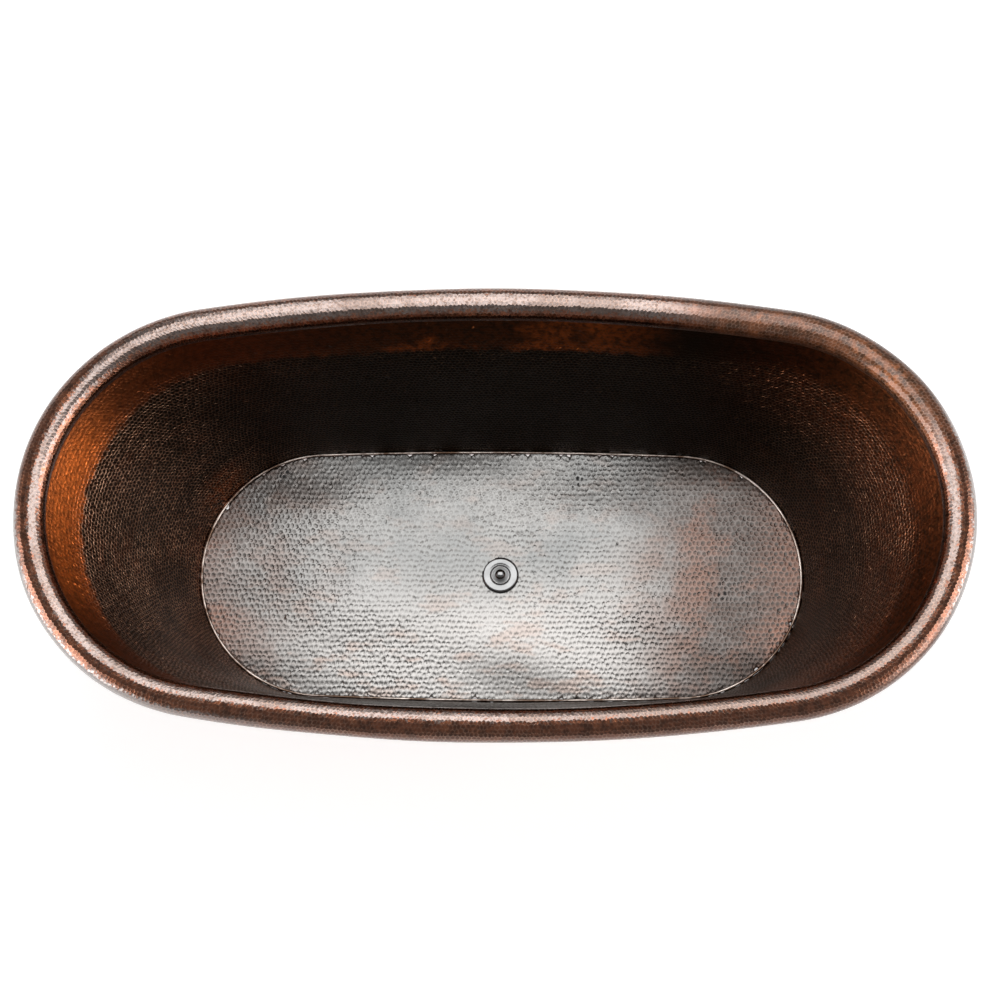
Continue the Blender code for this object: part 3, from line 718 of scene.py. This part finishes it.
def wall(share, rise):
    spread = (1 - NECK_SHARE) * rise + NECK_SHARE * rise ** NECK_POWER
    half_length = FLOOR_LENGTH / 2 + spread * (LENGTH / 2 + WALL_REACH - FLOOR_LENGTH / 2)
    half_width = FLOOR_WIDTH / 2 + spread * (WIDTH / 2 + WALL_REACH - FLOOR_WIDTH / 2)
    bow = FLOOR_BOW + spread * (RIM_BOW - FLOOR_BOW)
    x, y = oval(share, half_length, half_width, bow)
    return x, y, WALL_BOTTOM + rise * (WALL_TOP - WALL_BOTTOM)


# %% Beat the two wall sheets
BLOW, ROW = 0.0078, 0.0096  # one hammer mark to the next, along a row and up to the next row
FLARE = 0.16                # how far the wall leans out, on average
MIDDLE = 0.55               # the height whose girth sets how many blows go in a row
SEAM = 0.999999             # stops a hair short of the seam, so each sheet's edge stays its own
NECK_FROM = 0.80            # the height from which the blows grow lighter

wall_x, wall_y, _ = wall(np.linspace(0, 0.5, 1000), np.full(1000, MIDDLE))
half_girth = float(np.hypot(np.diff(wall_x), np.diff(wall_y)).sum())
wall_columns = round(half_girth / BLOW)
wall_rows = round(math.hypot(WALL_TOP - WALL_BOTTOM, FLARE) / ROW)
for name, start, seed in (("rear", 0.0, 11), ("front", 0.5, 12)):
    pattern = hammer_pattern(wall_columns, wall_rows, False, seed, wander=0.42)

    def half_wall(u, v, start=start):
        return wall(start + u / 2 * SEAM, v)

    sheet = beaten_sheet(f"hammered_wall_{name}", pattern, half_wall, [inside_look, outside_look],
                         seed, depth=0.0007, back_depth=0.0005, swell=0.0006, side=-1,
                         smooth_above=NECK_FROM)
    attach(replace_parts(sheet, f"wall_sheet_{name}"), "tub")


# %% [markdown]
# ## The rolled rim
#
# The sheet's upper edge is finished with a roll of copper as thick as a broom handle, open by a
# narrow slot underneath. It could be a bevelled curve, but a curve can't carry hammer marks, so it
# is the same pattern bent round a tube. Its blows are shallow, because a light hammer planished it
# over a stake.

# %% Beat the rim
half_slot = ROLL_SLOT / 2 / RIM_RADIUS
ROLL_FROM = -math.pi / 2 + half_slot
ROLL_TO = 3 * math.pi / 2 - half_slot


def rim(share, turn):
    angle = ROLL_FROM + (ROLL_TO - ROLL_FROM) * turn
    grown = RIM_RADIUS * np.cos(angle) - RIM_RADIUS
    x, y = oval(share, LENGTH / 2 + grown, WIDTH / 2 + grown, RIM_BOW)
    return x, y, RIM_Z + RIM_RADIUS * np.sin(angle)


RIM_BLOWS_ROUND = 25
rim_pattern = hammer_pattern(round(girth / BLOW), RIM_BLOWS_ROUND, True, 21, wander=0.36)
roll = beaten_sheet("hammered_rim", rim_pattern, rim, [rim_look], 21, depth=0.00018,
                    back_depth=0.0, swell=0.0005)
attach(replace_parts(roll, "rim_roll"), "tub")


# %% [markdown]
# ## The floor
#
# The floor is flat apart from a shallow dish round the drain and the slow waves that hammering
# leaves in a thin sheet. Its rows run straight along the tub. A Boolean cut would trim it to the
# oval, but it leaves slivers where it slices a cup. So the pattern covers a rectangle, the cups
# outside the oval are dropped, and the ragged edge that is left is drawn out to the oval, where
# the braze bead covers it.

# %% The floor's surface
DISH_DEPTH = 0.004
DISH_RADIUS = 0.130
DISH_INNER = 0.044          # flat ring round the drain
DRAIN_HOLE = 0.022
UNDER_BEAD = 0.002          # the edge ends this far past the wall's face
SPARE = 0.012               # how far the rectangle goes past the oval
half_x = FLOOR_LENGTH / 2 + SPARE
half_y = FLOOR_WIDTH / 2 + SPARE
edge_line = np.stack(floor_oval(np.linspace(0, 1, 4001)[:-1], UNDER_BEAD), 1)


def floor(u, v):
    x, y = (2 * u - 1) * half_x, (2 * v - 1) * half_y
    dip = np.clip((DISH_RADIUS - np.hypot(x, y)) / (DISH_RADIUS - DISH_INNER), 0, 1)
    return x, y, FLOOR_TOP - DISH_DEPTH * dip * dip * (3 - 2 * dip)


def inside_oval(x, y, grown):
    line_angle = np.arctan2(edge_line[:, 1], edge_line[:, 0])
    order = np.argsort(line_angle)
    reach = np.hypot(*edge_line[order].T)
    far = np.interp(np.arctan2(y, x), line_angle[order], reach, period=math.tau)
    return np.hypot(x, y) < far + grown


# %% Beat the floor
FLOOR_BLOW, FLOOR_ROW = 0.0100, 0.0108
EDGE_PULL = 0.0045          # points this near the oval are drawn to it
EDGE_KEEP = 0.003           # a cup stays if its centre is this far inside the oval
HOLE_PULL = 0.004           # the same two distances, at the drain hole


def to_floor_edge(flat, used):
    """Draws the ragged outer edge to the oval, and the inner one to the drain hole."""
    flat = flat.copy()
    x, y = (2 * flat[:, 0] - 1) * half_x, (2 * flat[:, 1] - 1) * half_y
    for number in np.flatnonzero(used & ~inside_oval(x, y, -EDGE_PULL)):
        away = np.hypot(edge_line[:, 0] - x[number], edge_line[:, 1] - y[number])
        x[number], y[number] = edge_line[int(np.argmin(away))]
    radius = np.hypot(x, y)
    close = used & (radius < DRAIN_HOLE + HOLE_PULL)
    x[close] *= DRAIN_HOLE / radius[close]
    y[close] *= DRAIN_HOLE / radius[close]
    flat[:, 0], flat[:, 1] = (x / half_x + 1) / 2, (y / half_y + 1) / 2
    return flat


floor_columns, floor_rows = round(2 * half_x / FLOOR_BLOW), round(2 * half_y / FLOOR_ROW)
floor_pattern = hammer_pattern(floor_columns, floor_rows, False, 31, wander=0.36)
centre_x, centre_y, _ = floor(*floor_pattern[1].T)
clear_of_hole = np.hypot(centre_x, centre_y) > DRAIN_HOLE + HOLE_PULL
bottom = beaten_sheet("hammered_floor", floor_pattern, floor, [floor_look, outside_look], 31,
                      depth=0.0008, back_depth=0.0003, swell=0.0014, rounded=True,
                      keep=inside_oval(centre_x, centre_y, -EDGE_KEEP) & clear_of_hole,
                      shape=to_floor_edge)
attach(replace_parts(bottom, "floor_sheet"), "tub")


# %% [markdown]
# ## The base skirt
#
# Under the floor a short skirt carries the tub's outline down to just above the ground, and hides
# the frame. A plain band would do for a part so low down, but next to a beaten wall it would look
# like plastic, so it gets six rows of the same blows.

# %% Beat the skirt
skirt_low, skirt_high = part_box("base_skirt")
SKIRT_FLARE = 0.010         # how far its foot stands out
ROUNDED_OFF = 0.88          # an oval's girth as a share of its box's


def skirt(share, rise):
    x, y = floor_oval(share, UNDER_BEAD + SKIRT_FLARE * (1 - rise))
    return x, y, skirt_low.z + rise * (skirt_high.z - skirt_low.z)


skirt_columns = round(2 * (FLOOR_LENGTH + FLOOR_WIDTH) * ROUNDED_OFF / BLOW)
hem = beaten_sheet("hammered_skirt", hammer_pattern(skirt_columns, 6, True, 41), skirt,
                   [outside_look], 41, depth=0.0006, back_depth=0.0002, swell=0.0)
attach(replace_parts(hem, "base_skirt"), "tub")


# %% [markdown]
# ## The braze bead
#
# Floor and wall are joined by a bead of braze that was run in by hand, so it is never quite even.
# It is a tube whose thickness follows a row of random puddles. A bevelled curve with a radius at
# each point would do too, but the tube's points fit the floor's oval without a spline between.

# %% Run the bead
BEAD_RADIUS = 0.003
BEAD_LIFT = 0.8             # its middle is this share of its radius over the floor
BEAD_STEPS, BEAD_SIDES = 1400, 10
PUDDLE = 5                  # steps to one puddle


def ring_faces(rings, sides):
    """Faces of a closed tube: point number ring * sides + side."""
    faces = []
    for ring in range(rings):
        here, after = ring * sides, (ring + 1) % rings * sides
        for side in range(sides):
            beside = (side + 1) % sides
            faces.append((here + side, after + side, after + beside, here + beside))
    return faces


share = np.repeat(np.arange(BEAD_STEPS) / BEAD_STEPS, BEAD_SIDES)
turn = np.tile(np.arange(BEAD_SIDES) / BEAD_SIDES * math.tau, BEAD_STEPS)
sizes = np.random.RandomState(51).uniform(0.82, 1.12, BEAD_STEPS // PUDDLE)
puddles = np.interp(np.arange(BEAD_STEPS), np.arange(0, BEAD_STEPS, PUDDLE), sizes)
radius = BEAD_RADIUS * np.repeat(puddles, BEAD_SIDES)
bead_x, bead_y = floor_oval(share, -BEAD_RADIUS + radius * np.cos(turn))
bead_z = FLOOR_TOP + BEAD_RADIUS * BEAD_LIFT + radius * np.sin(turn)
bead_points = np.stack([bead_x, bead_y, bead_z], 1)


# %% The bead's finish
BRAZE_DARK = (0.16, 0.10, 0.07)
BRAZE_BRIGHT = (0.75, 0.66, 0.60)


def braze_finish():
    look = Finish("braze", {"Metallic": 1.0})
    patches, specks = look.noise(18.0).between(0.40, 0.62), look.noise(220.0)
    look.set({"Base Color": look.blend(patches, BRAZE_DARK, BRAZE_BRIGHT),
              "Roughness": 0.25 + 0.25 * specks, "Normal": look.bump(specks, 0.0004, 0.6)})
    return look.material


bead = new_piece("braze_run", bead_points, ring_faces(BEAD_STEPS, BEAD_SIDES), [braze_finish()])
bead.data.shade_smooth()
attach(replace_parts(bead, "floor_bead"), "tub")
print(f"the bead has {len(sizes)} puddles")


# %% [markdown]
# ## Small finishes
#
# Polished chrome is almost colourless and very smooth, with the faint rings that a lathe or a
# polishing mop leaves. Brass, zinc, rubber, nylon and frame paint are each a base colour with
# specks, wear and a fine bump, because even a plain part is never one flat colour.

# %% Chrome, brass, zinc, rubber, nylon and paint
def plain_finish(name, light, dark, metallic, roughness, scale, grain, wax=0.0):
    """scale sets the clouds between the dark and the light colour, grain the height of specks."""
    look = Finish(name, {"Metallic": metallic, "Coat Weight": wax, "Coat Roughness": 0.2})
    clouds, specks = look.noise(scale), look.noise(scale * 14)
    look.set({"Base Color": look.blend(clouds.between(0.30, 0.70), dark, light),
              "Roughness": roughness + 0.18 * clouds * specks,
              "Normal": look.bump(specks, grain, 0.5)})
    return look.material


chrome = plain_finish("polished_chrome", (0.25, 0.25, 0.25), (0.20, 0.20, 0.20),
                      metallic=1.0, roughness=0.12, scale=40.0, grain=0.00003)
satin = plain_finish("satin_chrome", (0.80, 0.80, 0.80), (0.66, 0.66, 0.66),
                     metallic=1.0, roughness=0.34, scale=40.0, grain=0.0001)
brass = plain_finish("cast_brass", (0.66, 0.47, 0.20), (0.42, 0.27, 0.10),
                     metallic=1.0, roughness=0.25, scale=60.0, grain=0.0002)
zinc = plain_finish("bright_zinc", (0.66, 0.66, 0.62), (0.46, 0.46, 0.44),
                    metallic=1.0, roughness=0.24, scale=70.0, grain=0.0001)
rubber = plain_finish("black_rubber", (0.030, 0.030, 0.031), (0.012, 0.012, 0.012),
                      metallic=0.0, roughness=0.60, scale=90.0, grain=0.0002)
nylon = plain_finish("white_nylon", (0.76, 0.74, 0.68), (0.66, 0.63, 0.56),
                     metallic=0.0, roughness=0.38, scale=60.0, grain=0.0001)
paint = plain_finish("frame_enamel", (0.040, 0.040, 0.044), (0.020, 0.020, 0.022),
                     metallic=0.0, roughness=0.28, scale=45.0, grain=0.0002, wax=0.3)


# %% Finish the CAD pieces that keep their shape
def finish_of(name):
    if name in ("drain_locknut", "stopper_post", "guide_ring", "seal_retainer"):
        return brass
    if name in ("drain_gasket", "drain_rubber_washer", "stopper_seal"):
        return rubber
    if name.endswith("pad") or name.startswith("floor_strip"):
        return rubber
    if name.endswith(("stud", "nut")) or name == "knob_screw":
        return zinc
    if name.startswith(("frame_rail", "cross_bar")):
        return paint
    return nylon if name == "drain_slip_washer" else None


finishes = {name: finish_of(name) for name in nodes if finish_of(name)}
for name, finish in finishes.items():
    nodes[name].data.materials[0] = finish
print(len(finishes), "CAD pieces keep their shape and have a finish")


# %% [markdown]
# ## The drain
#
# The drain is turned and chromed, so its pieces are profiles spun round the drain's axis with
# enough steps to look round up close. The Screw modifier would spin them too, but a short loop
# gives closed rings whose points can be welded on the axis. Where a face rolls over gently, the
# profile is a smooth line through a few points.

# %% Spin a profile
LIP_RELIEF = 0.0004         # the flange's crest is this far over its lip
flange_low, flange_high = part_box("drain_flange_body")
LIP_Z = flange_high.z - LIP_RELIEF
ON_AXIS = 1e-5              # a profile's nearest point to the axis


def turned(name, profile, look, body, node, steps=128):
    """A closed profile of (radius, height over the lip) spun round the drain's axis."""
    points = []
    for step in range(steps):
        angle = math.tau * step / steps
        points += [(radius * math.cos(angle), radius * math.sin(angle), LIP_Z + height)
                   for radius, height in profile]
    made = new_piece(name, points, ring_faces(steps, len(profile)), [look])
    shape = bmesh.new()
    shape.from_mesh(made.data)
    bmesh.ops.remove_doubles(shape, verts=shape.verts, dist=1e-7)
    bmesh.ops.recalc_face_normals(shape, faces=shape.faces)
    shape.to_mesh(made.data)
    shape.free()
    made.data.shade_smooth()
    made.data.set_sharp_from_angle(angle=math.radians(38))
    print(f"{name}: {len(made.data.polygons)} faces")
    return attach(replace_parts(made, node), body)


def curve(points, count=6):
    """A smooth line through (radius, height) points."""
    line = []
    last = len(points) - 1
    for number in range(last):
        before = points[max(number - 1, 0)]
        start, end = points[number], points[number + 1]
        after = points[min(number + 2, last)]
        for step in range(count):
            t = step / count
            line.append(tuple(
                0.5 * (2 * b + (c - a) * t + (2 * a - 5 * b + 4 * c - d) * t * t
                       + (3 * b - a - 3 * c + d) * t ** 3)
                for a, b, c, d in zip(before, start, end, after)))
    return line + [points[-1]]


# %% The drain's flange and barrel
FLANGE_RADIUS = flange_high.x
FLANGE_THICKNESS = 0.0025
BARREL_RADIUS, BORE, LIP_RADIUS = 0.0210, 0.0175, 0.0200
SEAT_TOP, SEAT_BOTTOM = -0.0040, -0.0075
barrel_foot = flange_low.z - LIP_Z
flange_face = curve([
    (LIP_RADIUS + 0.0004, 0.0003), (LIP_RADIUS + 0.0010, 0.0005),
    (LIP_RADIUS + 0.0022, -0.0004), (LIP_RADIUS + 0.0060, 0.0001),
    (FLANGE_RADIUS - 0.0050, 0.0004), (FLANGE_RADIUS - 0.0018, -0.0001),
    (FLANGE_RADIUS - 0.0004, -0.0009), (FLANGE_RADIUS, -0.0018)])
barrel = [
    (FLANGE_RADIUS, -FLANGE_THICKNESS), (BARREL_RADIUS, -FLANGE_THICKNESS),
    (BARREL_RADIUS, barrel_foot), (BORE, barrel_foot), (BORE, SEAT_BOTTOM),
    (LIP_RADIUS, SEAT_TOP), (LIP_RADIUS, -0.0003)]
turned("drain_flange", flange_face + barrel, chrome, "tub", "drain_flange_body")


# %% The stopper's cap
CAP_METAL = 0.0020
DISH_DROP = 0.0026          # how far the cap's middle lies below its rim
WEB = 0.0026                # thickness of the middle, where the screw goes through
SCREW_HOLE = 0.0018
HUB_CLEAR, HUB_WALL = 0.0003, 0.0020
CAP_FLAT = 0.0090           # where the underside starts to rise

cap_low, cap_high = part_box("stopper_cap")
CAP_RADIUS = cap_high.x
cap_rim = cap_high.z - LIP_Z
dish = cap_rim - DISH_DROP
hub_foot = cap_low.z - LIP_Z
hub_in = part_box("guide_ring")[1].x + HUB_CLEAR
hub_out = hub_in + HUB_WALL
cap_face = curve([
    (SCREW_HOLE, dish), (0.0060, dish), (0.0100, dish + 0.0003), (0.0140, dish + 0.0012),
    (CAP_RADIUS - 0.0014, cap_rim - 0.0001), (CAP_RADIUS - 0.0007, cap_rim),
    (CAP_RADIUS - 0.0002, cap_rim - 0.0002), (CAP_RADIUS, cap_rim - 0.0007)])
cap_back = [
    (CAP_RADIUS, cap_rim - CAP_METAL), (CAP_FLAT, dish - CAP_METAL), (hub_out, dish - CAP_METAL),
    (hub_out, hub_foot), (hub_in, hub_foot), (hub_in, dish - WEB), (SCREW_HOLE, dish - WEB)]
turned("stopper_plate", cap_face + cap_back, satin, "stopper", "stopper_cap")


# %% The stopper's knob
BALL_HALF = 0.0055          # half the height of the ball, which is wider than it is high
BALL_TURN, BALL_POINTS = 156, 25
SCREW_DEPTH = 0.0060

knob_low, knob_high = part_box("stopper_knob")
knob_foot = knob_low.z - LIP_Z
ball_middle = knob_high.z - LIP_Z - BALL_HALF
ball = []
for step in range(BALL_POINTS):
    angle = math.radians(BALL_TURN * step / (BALL_POINTS - 1))
    ball.append((max(knob_high.x * math.sin(angle), ON_AXIS),
                 ball_middle + BALL_HALF * math.cos(angle)))
neck = [(radius, knob_foot + height) for radius, height in (
    (0.0042, 0.0017), (0.0046, 0.0008), (0.0055, 0.0002), (0.0055, 0.0),
    (SCREW_HOLE, 0.0), (SCREW_HOLE, SCREW_DEPTH), (ON_AXIS, SCREW_DEPTH))]
turned("stopper_handle", ball + neck, chrome, "stopper", "stopper_knob")


# %% [markdown]
# ## Studio
#
# Polished metal shows the room more than itself. The sky here is dim, so that the patina stays
# dark, and three things in it are bright. One wide soft box low overhead whitens the tub's floor
# and draws the pale streak along the roll's crown, which is also painted into the rim as a
# highlight. A glow low in the sky at each end draws the streaks down the roll's outer side, part of
# which is painted highlight as well. The glows are painted in the sky, because lamps so low would
# show hard edges on the ground. The ground is a plain pale sheet.

# %% The ground
GROUND_REACH = 30.0


def pale_ground():
    look = Finish("pale_ground", {"Roughness": 0.7, "Emission Color": (1.0, 1.0, 1.0),
                                  "Emission Strength": 0.5})
    look.set({"Base Color": look.blend(look.noise(3.0), (0.80, 0.80, 0.80), (0.82, 0.82, 0.82))})
    return look.material


square = [(x * GROUND_REACH, y * GROUND_REACH, 0) for x, y in ((-1, -1), (1, -1), (1, 1), (-1, 1))]
ground = new_piece("ground_sheet", square, [(0, 1, 2, 3)], [pale_ground()])
print(f"ground sheet, {2 * GROUND_REACH:.0f} m square")


# %% The sky
HORIZON, ZENITH, SIDE_GLOW = 0.40, 0.26, 4.5
GLOW_WAYS = ((-0.93, -0.34, 0.14), (0.97, -0.20, 0.14))

world = bpy.data.worlds.new("studio")
world.use_nodes = True
bpy.context.scene.world = world
sky = Nodes(world.node_tree)
way = sky.node("TexCoord", {}, {}, "Generated")
height = sky.node("SeparateXYZ", {}, {0: way}, "Z")
strength = HORIZON + (ZENITH - HORIZON) * height.between(0.10, 0.60)
for side in GLOW_WAYS:
    facing_side = sky.node("VectorMath", {"operation": "DOT_PRODUCT"}, {0: way, 1: side}, "Value")
    strength = strength + SIDE_GLOW * facing_side.between(0.80, 0.95)
background = sky.tree.nodes["Background"]
plug(background.inputs["Color"], (1.0, 1.0, 1.0))
plug(background.inputs["Strength"], strength)
print("sky:", len(sky.tree.nodes), "nodes")


# %% The soft box
BOX_PLACE = (0.0, 1.03, 1.9)
BOX_LONG, BOX_DEEP = 1.9, 1.95
BOX_RADIANCE = 3.0

box_light = bpy.data.lights.new("overhead_box", "AREA")
box_light.shape = "RECTANGLE"
box_light.size, box_light.size_y = BOX_LONG, BOX_DEEP
box_light.energy = BOX_RADIANCE * math.pi * BOX_LONG * BOX_DEEP
overhead_box = bpy.data.objects.new("overhead_box", box_light)
overhead_box.location = BOX_PLACE       # a lamp that isn't turned shines straight down
overhead_box.visible_camera = False
bpy.context.scene.collection.objects.link(overhead_box)
print(f"soft box of {box_light.energy:.1f} W")


# %% [markdown]
# ## Camera
#
# The camera looks steeply down from the near side, turned a few degrees and tipped a little, with
# a longish lens from about four metres. A Track To constraint would aim it, but couldn't tip it, so
# its three directions are worked out and set as one matrix.

# %% Set the camera
ELEVATION, AZIMUTH, ROLL = math.radians(75.4), math.radians(7.08), math.radians(-6.58)
AIM, DISTANCE = Vector((0.015, 0.019, 0.619)), 4.059
LENS, SENSOR = 79.06, 36.0
back = Vector((math.sin(AZIMUTH) * math.cos(ELEVATION), -math.cos(AZIMUTH) * math.cos(ELEVATION),
               math.sin(ELEVATION)))
level = Vector((math.cos(AZIMUTH), math.sin(AZIMUTH), 0))
upright = back.cross(level)
right = level * math.cos(ROLL) + upright * math.sin(ROLL)
above = upright * math.cos(ROLL) - level * math.sin(ROLL)
camera_data = bpy.data.cameras.new("camera")
camera_data.sensor_width = SENSOR
camera_data.lens = LENS
camera = bpy.data.objects.new("camera", camera_data)
camera.matrix_world = Matrix.Translation(AIM + back * DISTANCE) @ Matrix(
    (right, above, back)).transposed().to_4x4()
bpy.context.scene.collection.objects.link(camera)
bpy.context.scene.camera = camera
bpy.context.scene.view_settings.view_transform = "Standard"
print("camera at", [round(value, 3) for value in camera.location])
